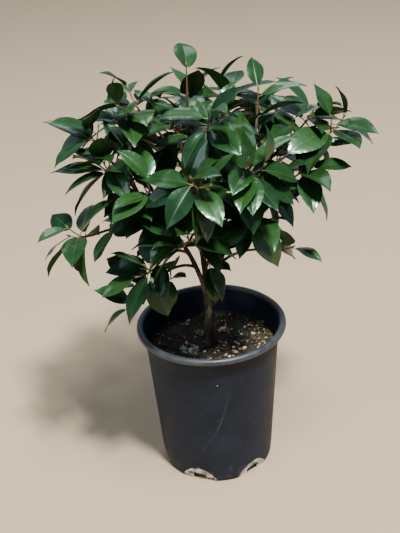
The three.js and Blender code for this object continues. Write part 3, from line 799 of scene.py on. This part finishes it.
# The pot's mesh, and the share of the bead, from its top, that is lighter: partly wear, partly a painted
# sheen where light falls on the bead's top
POT_SHARP = 35
COLLAR_ROUND = 0.8
FOOT_STEPS = 8
BEAD_STEPS = 24
WALL_START = 30
WALL_LEVELS = 12
WORN_SHEEN_SHARE = 0.8


def make_pot(plastic, dusty_and_reflecting, worn):
    """The pot at the source's sizes, turned finely, with a drain hole in a scallop six times round."""
    bead = BEAD / 2
    collar_foot = POT_HEIGHT - BEAD - COLLAR_HEIGHT
    collar_out = wall_radius(collar_foot) + COLLAR_STEP
    profile = [
        (0, 0), *arc(BASE_RADIUS - FOOT_ROUND, FOOT_ROUND, FOOT_ROUND, -90, 0, FOOT_STEPS),
        *[(wall_radius(z), z) for z in np.linspace(WALL_START, collar_foot - 1, WALL_LEVELS)],
        (wall_radius(collar_foot), collar_foot),
        *arc(collar_out - COLLAR_ROUND, collar_foot + COLLAR_STEP + COLLAR_ROUND, COLLAR_ROUND, -45, 0, 3),
        (NECK_RADIUS + COLLAR_STEP, POT_HEIGHT - BEAD - 1),
        *arc(RIM_RADIUS - bead, POT_HEIGHT - bead, bead, -90, 180, BEAD_STEPS),
        (NECK_RADIUS - WALL, POT_HEIGHT - BEAD),
        (wall_radius(collar_foot) - WALL, collar_foot),
        *reversed(inner_profile(0)),
    ]
    points, faces = lathe(profile, POT_SIDES)
    bead_foot = POT_HEIGHT - WORN_SHEEN_SHARE * BEAD
    body = Mesh()
    # the bead's top takes the lighter plastic: wear, and a painted sheen from the light above
    body.add(points, faces, [2 if min(points[i][2] for i in face) > bead_foot else 0 for face in faces])
    pot = body.make("nursery_pot", [plastic, dusty_and_reflecting, worn], POT_SHARP)
    lean = atan2(SCALLOP_DEPTH, SCALLOP_HEIGHT)
    face_out = BASE_RADIUS - SCALLOP_DEPTH
    scallop = (BASE_RADIUS, 2 * BASE_RADIUS, 4 * SCALLOP_HEIGHT)
    scallop_shift = ((BASE_RADIUS / 2, 0, 0), (face_out, 0, 0))
    hole = (BASE_RADIUS / 4, HOLE_WIDTH, HOLE_HEIGHT + FLOOR)
    hole_shift = ((0, 0, 0), (face_out, 0, (HOLE_HEIGHT - FLOOR) / 2))
    cutters = []
    for i in range(HOLES):
        bearing = radians(FIRST_HOLE + 360 * i / HOLES)
        # the scallops' faces take a pale material: dust, and a painted reflection of the lit floor under
        # the foot
        cutters.append(box_cutter(scallop, scallop_shift, lean, bearing, dusty_and_reflecting))
        cutters.append(box_cutter(hole, hole_shift, 0, bearing, plastic))
    for cutter in cutters:
        cut = pot.modifiers.new("cut", "BOOLEAN")
        cut.object, cut.operation, cut.solver, cut.material_mode = cutter, "DIFFERENCE", "EXACT", "TRANSFER"
    graph = bpy.context.evaluated_depsgraph_get()
    mesh = bpy.data.meshes.new_from_object(pot.evaluated_get(graph), depsgraph=graph)
    pot.modifiers.clear()
    pot.data = mesh
    for cutter in cutters:
        bpy.data.objects.remove(cutter)
    mesh.set_sharp_from_angle(angle=radians(POT_SHARP))
    return pot


# The long pale scuff on the front of the wall: bearing and height at its top, its bend and its foot
SCUFF = ((280.5, 219), (278, 140), (251, 67))
SCUFF_WIDTH = 5
SCUFF_STEPS = 30
# The scuff's cross section: shares of its half width to the side, and millimetres above the wall
SCUFF_SECTION = ((-1, 0), (-0.4, 0.1), (0.4, 0.1), (1, 0), (0, -0.3))
SPECKS = 40
SPECK_FLATNESS = 0.6
FRONT_SPECK = (271.5, 236)
FRONT_SPECK_SIZE = 2.2


def on_wall(bearing, height, above):
    """A place on the outside of the wall, or a little above its surface."""
    return np.array([*polar(wall_radius(height) + above, radians(bearing)), height])


def make_marks(pale, faint, earth):
    """The scuff, a thin ribbon with fainter sides, and specks of dried soil on the wall."""
    mesh = Mesh()
    looks = Random(61)
    top, bend, foot = (np.array(place, float) for place in SCUFF)
    points = []
    for k in range(SCUFF_STEPS + 1):
        t = k / SCUFF_STEPS
        bearing, height = (1 - t) ** 2 * top + 2 * t * (1 - t) * bend + t * t * foot
        half = SCUFF_WIDTH / 2 * sin(pi * (0.03 + 0.94 * t)) ** 0.5 * looks.draw(0.55, 1)
        step = degrees(half / wall_radius(height))
        points += [on_wall(bearing + side * step, height, above) for side, above in SCUFF_SECTION]
    kinds = [1, 0, 1, 1, 1] * SCUFF_STEPS + [1, 1]
    mesh.add(np.array(points), ring_faces(len(SCUFF_SECTION), SCUFF_STEPS), kinds)
    places = [FRONT_SPECK] + [(looks.draw(0, 360), 8 + 150 * looks.draw(0, 1) ** 2) for _ in range(SPECKS)]
    for number, (bearing, height) in enumerate(places):
        size = FRONT_SPECK_SIZE if number == 0 else looks.draw(0.25, 0.9)
        points, faces = lump(size, looks)
        mesh.add(points * SPECK_FLATNESS + on_wall(bearing, height, 0), faces, 2)
    return mesh.make("pot_marks", [pale, faint, earth])


def soil_height(x, y):
    """The source's gentle rise and fall of the mix, level round the trunk and at the wall."""
    out = hypot(x, y)
    off_trunk = float(smoothstep(out, FLAT_ROUND_TRUNK, 2 * FLAT_ROUND_TRUNK))
    off_wall = 1 - float(smoothstep(out, MIX_EDGE - FLAT_ROUND_TRUNK, MIX_EDGE - 1))
    waves = sin(x / 23 + 1) * cos(y / 17) + 0.6 * sin((x - y) / 11)
    return SOIL_TOP + SOIL_RELIEF * off_trunk * off_wall * waves


# The relief on top of that: how far apart and how high its crumbs and hollows are, and how deep it lies
CRUMBS = ((5, 0.3, 1.5), (2, 4.1, 0.8))
HOLLOWS = (16, 9.0, 1.6)
CRUMB_DROP = 0.9


def crumbed_height(x, y):
    """The mix with its crumbs and hollows, which come down to the wall and lie close round the trunk."""
    def relief(size, layer, height):
        return noise.noise(Vector((x / size, y / size, layer))) * height
    crumb = relief(*CRUMBS[0]) + relief(*CRUMBS[1])
    return soil_height(x, y) + crumb + relief(*HOLLOWS) - CRUMB_DROP


def make_mix(material):
    """The body of potting mix, with a crumbed top."""
    top = [(MIX_EDGE * (1 - i / SOIL_RINGS), SOIL_TOP) for i in range(SOIL_RINGS + 1)]
    points, faces = lathe([*inner_profile(GAP), *top], SOIL_SIDES)
    for point in points:
        if point[2] > SOIL_TOP - 1:
            point[2] = crumbed_height(point[0], point[1])
    mesh = Mesh()
    mesh.add(points, faces, 0)
    return mesh.make("mix_surface", [material], sharp=80)


def lump(size, looks):
    """A rough closed lump: a jittered octahedron, split once."""
    points = list(np.array([(1, 0, 0), (0, 1, 0), (-1, 0, 0), (0, -1, 0), (0, 0, 1), (0, 0, -1)], float))
    faces = [(0, 1, 4), (1, 2, 4), (2, 3, 4), (3, 0, 4), (1, 0, 5), (2, 1, 5), (3, 2, 5), (0, 3, 5)]
    middles, fine = {}, []
    def middle(a, b):
        key = (min(a, b), max(a, b))
        if key not in middles:
            middles[key] = len(points)
            points.append(unit(points[a] + points[b]))
        return middles[key]
    for a, b, c in faces:
        ab, bc, ca = middle(a, b), middle(b, c), middle(c, a)
        fine += [(a, ab, ca), (ab, b, bc), (ca, bc, c), (ab, bc, ca)]
    stretch = np.array([looks.draw(0.7, 1.3), looks.draw(0.7, 1.3), looks.draw(0.6, 1)]) * size
    shaped = np.array([p * looks.draw(0.78, 1.15) for p in points]) * stretch
    return turned_about(shaped, looks), fine


def turned_about(points, looks, tilt=0.6):
    """Points tilted a little and turned round Z."""
    turn = Matrix.Rotation(looks.draw(0, 6.28), 3, "Z") @ Matrix.Rotation(looks.draw(-tilt, tilt), 3, "X")
    return points @ np.array(turn).T


def chip(length, looks):
    """A flake of bark: a thin bent slab with ragged ends."""
    width, thick = length * looks.draw(0.3, 0.55), length * looks.draw(0.1, 0.2)
    points = []
    for s in np.linspace(-0.5, 0.5, 4):
        w = width / 2 * looks.draw(0.55, 1.1)
        x = s * length * looks.draw(0.9, 1.1)
        lift = thick * looks.draw(-0.3, 0.3)
        points += [(x, -w, lift), (x, w, lift), (x, w * 0.9, lift + thick), (x, -w * 0.9, lift + thick)]
    return turned_about(np.array(points), looks), ring_faces(4, 3)


def sliver(root, direction, length, width):
    """A small pointed blade: a flat closed shape with a raised middle."""
    side = unit(np.cross(direction, UP) + np.array([0.01, 0, 0]))
    middle = root + direction * length * 0.45
    points = [root, middle - side * width, root + direction * length, middle + side * width,
              middle + UP * width * 0.3]
    return np.array(points), [(0, 1, 4), (1, 2, 4), (2, 3, 4), (3, 0, 4), (0, 3, 2, 1)]


def tuft(size, looks, blades=7, wide=0.16, rise=0.8):
    """A tuft of moss: small blades that open out from one root."""
    points, faces = [], []
    for number in range(blades):
        turn = GOLDEN * number + looks.draw(-0.4, 0.4)
        way = unit(np.array([*polar(1, turn), looks.draw(0.3, 1.3) * rise]))
        own, own_faces = sliver(way * size * 0.1, way, size * looks.draw(0.6, 1), size * wide)
        faces += [tuple(i + len(points) for i in face) for face in own_faces]
        points += list(own)
    return np.array(points), faces


def seedling(size, looks):
    """A seedling: a few wide blades that lie close over the mix."""
    return tuft(size, looks, 5, 0.3, 0.5)


# Where things lie on the mix: each of these gives a place, from the draws and the reach that it has
def all_over(looks, reach):
    out = reach * sqrt(looks.draw(0.012, 1))
    return polar(out, looks.draw(0, FULL_TURN))


def front_right(looks, reach):
    """More of a thing lies at the front and right, which makes the mix paler there: partly pale grit that
    lies there, partly a painted sunlit patch.
    """
    for _ in range(8):
        x, y = all_over(looks, reach)
        if looks.draw(0, 1) < 0.15 + 0.85 * float(smoothstep(x * 0.8 - y * 0.5, -50, 60)):
            break
    return x, y


def beside_wall(looks, reach):
    """In a band along the right of the wall."""
    turn = radians(looks.draw(-12, 40))
    return polar(reach - 34 * looks.draw(0, 1) ** 2, turn)


def near(x, y, spread):
    """Gathered round one spot."""
    def where(looks, reach):
        out = spread * sqrt(looks.draw(0, 1))
        turn = looks.draw(0, FULL_TURN)
        return x + out * cos(turn), y + out * sin(turn)
    return where


def one_of(*spots):
    """Within a few millimetres of one spot out of a few."""
    def where(looks, reach):
        x, y = spots[looks.pick(len(spots))]
        return x + looks.draw(-4, 4), y + looks.draw(-4, 4)
    return where


def scatter(name, materials, count, make, sizes, sink, seed, where):
    """Many small things lying on the mix, as one joined piece."""
    looks = Random(seed)
    mesh = Mesh()
    for _ in range(count):
        size = sizes[0] + (sizes[1] - sizes[0]) * looks.draw(0, 1) ** 2
        x, y = where(looks, MIX_EDGE - EDGE_MARGIN - size / 2)
        points, faces = make(size, looks)
        base = np.array([x, y, crumbed_height(x, y) + size * sink])
        mesh.add(points + base, faces, looks.pick(len(materials)))
    return mesh.make(name, materials, sharp=40)


class Look:
    """A material under way, and the few kinds of node that colour and roughen it."""

    def __init__(self, name, color, roughness, **sockets):
        self.material = bpy.data.materials.new(name)
        self.material.use_nodes = True
        self.nodes, self.links = self.material.node_tree.nodes, self.material.node_tree.links
        self.shader = self.nodes["Principled BSDF"]
        sockets.update(Base_Color=(*color, 1), Roughness=roughness)
        for socket, value in sockets.items():
            self.shader.inputs[socket.replace("_", " ")].default_value = value

    def node(self, kind, inputs, output):
        """A new node's output, each of its inputs set to a value or linked to another output."""
        made = self.nodes.new(kind)
        for socket, value in inputs.items():
            if isinstance(value, bpy.types.NodeSocket):
                self.links.new(value, made.inputs[socket])
            else:
                made.inputs[socket].default_value = value
        return made.outputs[output]

    def place(self):
        """The place in the object's own space, which is the frame's."""
        return self.node("ShaderNodeTexCoord", {}, "Object")

    def noise(self, scale, detail, stretch=None):
        place = self.place()
        if stretch:
            place = self.node("ShaderNodeMapping", {"Scale": stretch, "Vector": place}, "Vector")
        return self.node("ShaderNodeTexNoise", {"Scale": scale, "Detail": detail, "Vector": place}, "Fac")

    def ramp(self, source, stops):
        made = self.nodes.new("ShaderNodeValToRGB")
        self.links.new(source, made.inputs["Fac"])
        elements = made.color_ramp.elements
        while len(elements) < len(stops):
            elements.new(0.5)
        for element, (place, color) in zip(elements, stops):
            element.position = place
            element.color = (*color, 1)
        return made.outputs["Color"]

    def shade(self, source, socket="Base Color"):
        self.links.new(source, self.shader.inputs[socket])

    def bump(self, height, strength, distance):
        inputs = {"Strength": strength, "Distance": distance, "Height": height}
        self.shade(self.node("ShaderNodeBump", inputs, "Normal"), "Normal")
        return self.material


def grey(value):
    return (value, value, value)


GREEN_GLOSS = (0.5, 1, 0.68, 1)
WAX_ROUGHNESS = 0.12


def leaf_material(name, dark, light, roughness, gloss=0.42, wax=0.75):
    """A leathery blade: two close greens in soft clouds, and a fine grain that breaks up its gloss."""
    look = Look(name, dark, roughness, Specular_IOR_Level=gloss, Specular_Tint=GREEN_GLOSS,
                Coat_Weight=wax, Coat_Roughness=WAX_ROUGHNESS)
    look.shade(look.ramp(look.noise(60, 3), [(0.35, dark), (0.7, light)]))
    return look.bump(look.noise(420, 2), 0.25, 0.0006)


def bark_material(name, stops, scale, relief):
    """Bark, its colours and grain drawn out along the limbs."""
    look = Look(name, stops[0][1], 0.85)
    look.shade(look.ramp(look.noise(scale, 6, (1, 1, 0.35)), stops))
    return look.bump(look.noise(scale * 6, 6, (1, 1, 0.25)), 0.6, relief)


def rough_material(name, stops, scale, relief, roughness=0.95):
    look = Look(name, stops[0][1], roughness)
    look.shade(look.ramp(look.noise(scale, 5), stops))
    return look.bump(look.noise(scale * 4, 5), 0.5, relief)


DUST_HEIGHT = 0.06
DUST_COLOR = (0.2, 0.195, 0.18)


def plastic_material(name, dark, light, roughness, gloss, scale=16):
    """Moulded plastic with a fine stipple, a film of dust in clouds and splashes of soil near its foot."""
    look = Look(name, dark, roughness, Specular_IOR_Level=gloss)
    dust = look.noise(scale, 6)
    clouds = look.ramp(dust, [(0.3, dark), (0.75, light)])
    height = look.node("ShaderNodeSeparateXYZ", {"Vector": look.place()}, "Z")
    inputs = {"Value": height, "From Max": DUST_HEIGHT, "To Min": 0.2, "To Max": 0}
    low = look.node("ShaderNodeMapRange", inputs, "Result")
    splashes = look.node("ShaderNodeMath", {0: look.noise(75, 8), 1: low}, "Value")
    cover = look.ramp(splashes, [(0.66, grey(0)), (0.9, grey(0.22))])
    inputs = {"Fac": cover, "Color1": clouds, "Color2": (*DUST_COLOR, 1)}
    look.shade(look.node("ShaderNodeMixRGB", inputs, "Color"))
    worn = [(0.3, grey(roughness - 0.06)), (0.75, grey(roughness + 0.15))]
    look.shade(look.ramp(dust, worn), "Roughness")
    return look.bump(look.noise(700, 2), 0.12, 0.0005)


# The rough looks: each one's colours, the scale of its patches, its relief and its roughness
rough = {name: rough_material(name, *look) for name, *look in (
    ("leaf_vein", [(0.3, (0.016, 0.05, 0.012)), (0.7, (0.026, 0.072, 0.017))], 90, 0.0003, 0.4),
    ("leaf_stalk", [(0.35, (0.09, 0.16, 0.04)), (0.7, (0.14, 0.12, 0.05))], 70, 0.0002, 0.45),
    ("bud_green", [(0.35, (0.08, 0.14, 0.035)), (0.7, (0.13, 0.15, 0.05))], 120, 0.0003, 0.45),
    # pale scallop faces at the foot: dust, with a painted reflection of the lit floor
    ("pot_scuffed", [(0.38, (0.04, 0.045, 0.05)), (0.5, (0.36, 0.35, 0.32)), (0.6, (0.8, 0.78, 0.71))],
     70, 0.0005, 0.6),
    ("dark_mix", [(0.3, (0.006, 0.005, 0.004)), (0.55, (0.017, 0.013, 0.01)), (0.75, (0.06, 0.046, 0.028))],
     160, 0.001),
    ("dark_chip", [(0.3, (0.02, 0.015, 0.01)), (0.7, (0.06, 0.045, 0.03))], 300, 0.0006),
    ("brown_chip", [(0.3, (0.04, 0.027, 0.016)), (0.7, (0.11, 0.078, 0.046))], 300, 0.0006),
    ("red_chip", [(0.35, (0.3, 0.1, 0.07)), (0.65, (0.75, 0.46, 0.36))], 160, 0.0006),
    ("pale_grit", [(0.3, (0.5, 0.43, 0.3)), (0.7, (0.85, 0.78, 0.62))], 300, 0.0004),
    ("tan_grit", [(0.3, (0.27, 0.2, 0.1)), (0.7, (0.5, 0.41, 0.23))], 300, 0.0004),
    ("moss", [(0.35, (0.12, 0.16, 0.11)), (0.6, (0.62, 0.68, 0.54))], 200, 0.0004),
    ("green_moss", [(0.3, (0.03, 0.07, 0.03)), (0.7, (0.09, 0.17, 0.07))], 200, 0.0004),
    ("crust", [(0.3, (0.055, 0.058, 0.018)), (0.7, (0.21, 0.195, 0.07))], 200, 0.0004),
    ("weed", [(0.3, (0.09, 0.11, 0.06)), (0.7, (0.2, 0.22, 0.12))], 200, 0.0004),
)}

# Shrub
curves, radii, crowns, side_crowns = grow_plant()
greens = [
    leaf_material("leaf_deep", (0.004, 0.017, 0.007), (0.008, 0.029, 0.01), 0.32, 0.22, 0.2),
    leaf_material("leaf_full", (0.006, 0.025, 0.006), (0.0105, 0.04, 0.009), 0.32, 0.34, 0.26),
    leaf_material("leaf_mid", (0.007, 0.029, 0.007), (0.013, 0.042, 0.0095), 0.32),
    leaf_material("leaf_young", (0.011, 0.041, 0.008), (0.017, 0.055, 0.0115), 0.34),
]
under = leaf_material("leaf_under", (0.02, 0.05, 0.015), (0.032, 0.075, 0.023), 0.5, 0.1, 0)
twig_bark = bark_material("twig_bark", [(0.35, (0.06, 0.034, 0.018)), (0.65, (0.16, 0.055, 0.032))],
                          60, 0.0003)
stem_bark = bark_material("stem_bark", [(0.35, (0.009, 0.0075, 0.006)), (0.5, (0.03, 0.024, 0.017)),
                                        (0.66, (0.15, 0.11, 0.072))], 45, 0.0012)
bare_wood = bark_material("bare_wood", [(0.3, (0.2, 0.16, 0.08)), (0.7, (0.42, 0.36, 0.2))], 90, 0.0006)

CROWN_PARTS = ("left", "right", "back", "centre")


def part_of(crown):
    """The part of the whole crown that a mass or a side twig belongs to, by its name."""
    return next((part for part in CROWN_PARTS if part in crown.name), "centre")


for part in CROWN_PARTS:
    mesh = Mesh()
    for crown in crowns + side_crowns:
        if part_of(crown) == part:
            for leaf in crown.leaves:
                add_leaf(mesh, leaf, len(greens))
    nodes_here = [crown.name for crown in crowns if part_of(crown) == part]
    piece = mesh.make("leaves_" + part, [*greens, rough["leaf_vein"], under, rough["leaf_stalk"]])
    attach(piece, "root")
    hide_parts(*nodes_here)

twigs, buds = Mesh(), Mesh()
knots = Random(5)
for crown in crowns + side_crowns:
    for curve, ends in crown.twigs:
        add_twig(twigs, curve, ends, knots)
    for shoot, _, _ in crown.shoots:
        add_bud(buds, shoot)
piece = twigs.make("twigs", [twig_bark])
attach(piece, "root")
piece = buds.make("buds", [rough["bud_green"]])
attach(piece, "root")

limbs = Mesh()
for number, limb in enumerate(LIMBS):
    split = None if limb["on"] else SPLIT
    add_bark(limbs, curves[limb["name"]], radii[limb["name"]], number + 1, bool(limb["on"]), split)
piece = limbs.make("bark", [stem_bark, bare_wood], sharp=70)
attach(piece, "root")
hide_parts(*[limb["name"] for limb in LIMBS])

# Pot
pot_plastic = plastic_material("pot_plastic", (0.0085, 0.0122, 0.0215), (0.0175, 0.0238, 0.037), 0.5, 0.12)
# lighter plastic for the bead's top: partly wear, partly a painted sheen
pot_worn = plastic_material("pot_worn", (0.014, 0.019, 0.025), (0.041, 0.049, 0.057), 0.42, 0.5, 40)
pot = make_pot(pot_plastic, rough["pot_scuffed"], pot_worn)
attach(pot, "root")
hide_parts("pot")
marks = make_marks(*[plastic_material(*look, 0.1, 90) for look in (
    ("scuff_pale", (0.021, 0.026, 0.035), (0.042, 0.048, 0.059), 0.6),
    ("scuff_faint", (0.014, 0.018, 0.025), (0.03, 0.036, 0.046), 0.6),
    ("pot_specks", (0.12, 0.11, 0.09), (0.35, 0.32, 0.27), 0.8),
)])
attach(marks, "root")

# Potting mix, and what lies on it
mix = make_mix(rough["dark_mix"])
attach(mix, "root")
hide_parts("potting_mix")

# Each thing's name, looks, number, shape, sizes, how far up it lies, seed and places
for name, looks, *habit in (
    ("bark_chips", ("dark_chip", "dark_chip", "brown_chip"), 330, chip, (4, 14), 0.02, 41, all_over),
    ("red_chip", ("red_chip",), 3, chip, (14, 20), 0.3, 44, near(20, 40, 3)),
    ("pale_chips", ("tan_grit", "brown_chip"), 7, chip, (6, 13), 0.2, 48, near(16, -12, 14)),
    ("mix_crumbs", ("dark_mix", "dark_chip", "brown_chip"), 900, lump, (0.8, 2.8), 0.1, 42, all_over),
    # the grit gathers at the front and right: pale grit, and a painted patch of sunlight
    ("grit", ("pale_grit", "tan_grit", "tan_grit", "tan_grit"), 260, lump, (0.7, 3.6), 0.3, 43,
     front_right),
    ("perlite", ("pale_grit",), 7, lump, (2.2, 4.6), 0.3, 49,
     one_of((80, 28), (67, 8), (22, -8), (8, -22), (57, -24))),
    ("moss", ("moss",), 90, tuft, (2.5, 7), 0.0, 45, near(-43, -17, 17)),
    ("green_moss", ("green_moss",), 60, tuft, (2, 6), 0.0, 50, near(54, 30, 13)),
    ("crust", ("crust", "crust", "green_moss"), 260, tuft, (1.5, 5), 0.0, 47, beside_wall),
    ("seedlings", ("weed",), 9, seedling, (6, 12), 0.1, 46,
     one_of((98, 60), (-103, 40), (-26, 36), (-47, 68))),
):
    piece = scatter(name, [rough[look] for look in looks], *habit)
    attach(piece, "root")

# Floor
FLOOR_REACH = 7.0
FLOOR_COLOR = (0.37, 0.29, 0.195)
floor_mesh = bpy.data.meshes.new("floor")
corners = [(x * FLOOR_REACH, y * FLOOR_REACH, 0) for x, y in ((-1, -1), (1, -1), (1, 1), (-1, 1))]
floor_mesh.from_pydata(corners, [], [(0, 1, 2, 3)])
floor_mesh.materials.append(Look("floor", FLOOR_COLOR, 0.9).material)
floor = linked("floor", floor_mesh)

# Light
CROWN_CENTRE = Vector((0, 0, 0.6))
SKY_COLOR = (0.62, 0.78, 1, 1)
SKY_STRENGTH = 0.32


def area_light(name, bearing, height, distance, size, power, color):
    """A square soft light, aimed at the crown from a bearing and a height in degrees."""
    lamp = bpy.data.lights.new(name, "AREA")
    lamp.shape, lamp.size, lamp.energy, lamp.color = "SQUARE", size, power, color
    light = linked(name, lamp)
    lift = radians(height)
    away = Vector((*polar(cos(lift), radians(bearing)), sin(lift)))
    light.location = CROWN_CENTRE + away * distance
    light.rotation_euler = away.to_track_quat("Z", "Y").to_euler()


area_light("key", 297, 64, 7.0, 0.8, 1340, (1, 0.965, 0.9))
area_light("glow", 300, 76, 6.0, 1.2, 270, (1, 0.98, 0.95))
area_light("rim", 92, 52, 5.0, 2.2, 60, (0.95, 0.98, 1))
area_light("fill", 205, 25, 3.0, 2.0, 34, (0.85, 0.92, 1))
world = bpy.data.worlds.new("studio")
world.use_nodes = True
sky = world.node_tree.nodes["Background"]
sky.inputs["Color"].default_value = SKY_COLOR
sky.inputs["Strength"].default_value = SKY_STRENGTH
bpy.context.scene.world = world

# The photograph's camera: it looks along +Y, tips down, and leans a little
CAMERA_PLACE = (-0.0147, -1.4381, 1.1815)
CAMERA_PITCH = 28.10
CAMERA_ROLL = -3.41
FOCAL_PIXELS = 900
IMAGE_HEIGHT = 533
SENSOR = 36
camera = bpy.data.cameras.new("camera")
camera.sensor_width = SENSOR
camera.lens = SENSOR * FOCAL_PIXELS / IMAGE_HEIGHT
eye = linked("camera", camera)
tip_down = Matrix.Rotation(radians(90 - CAMERA_PITCH), 4, "X")
lean = Matrix.Rotation(radians(CAMERA_ROLL), 4, "Z")
eye.matrix_world = Matrix.Translation(CAMERA_PLACE) @ tip_down @ lean
bpy.context.scene.camera = eye
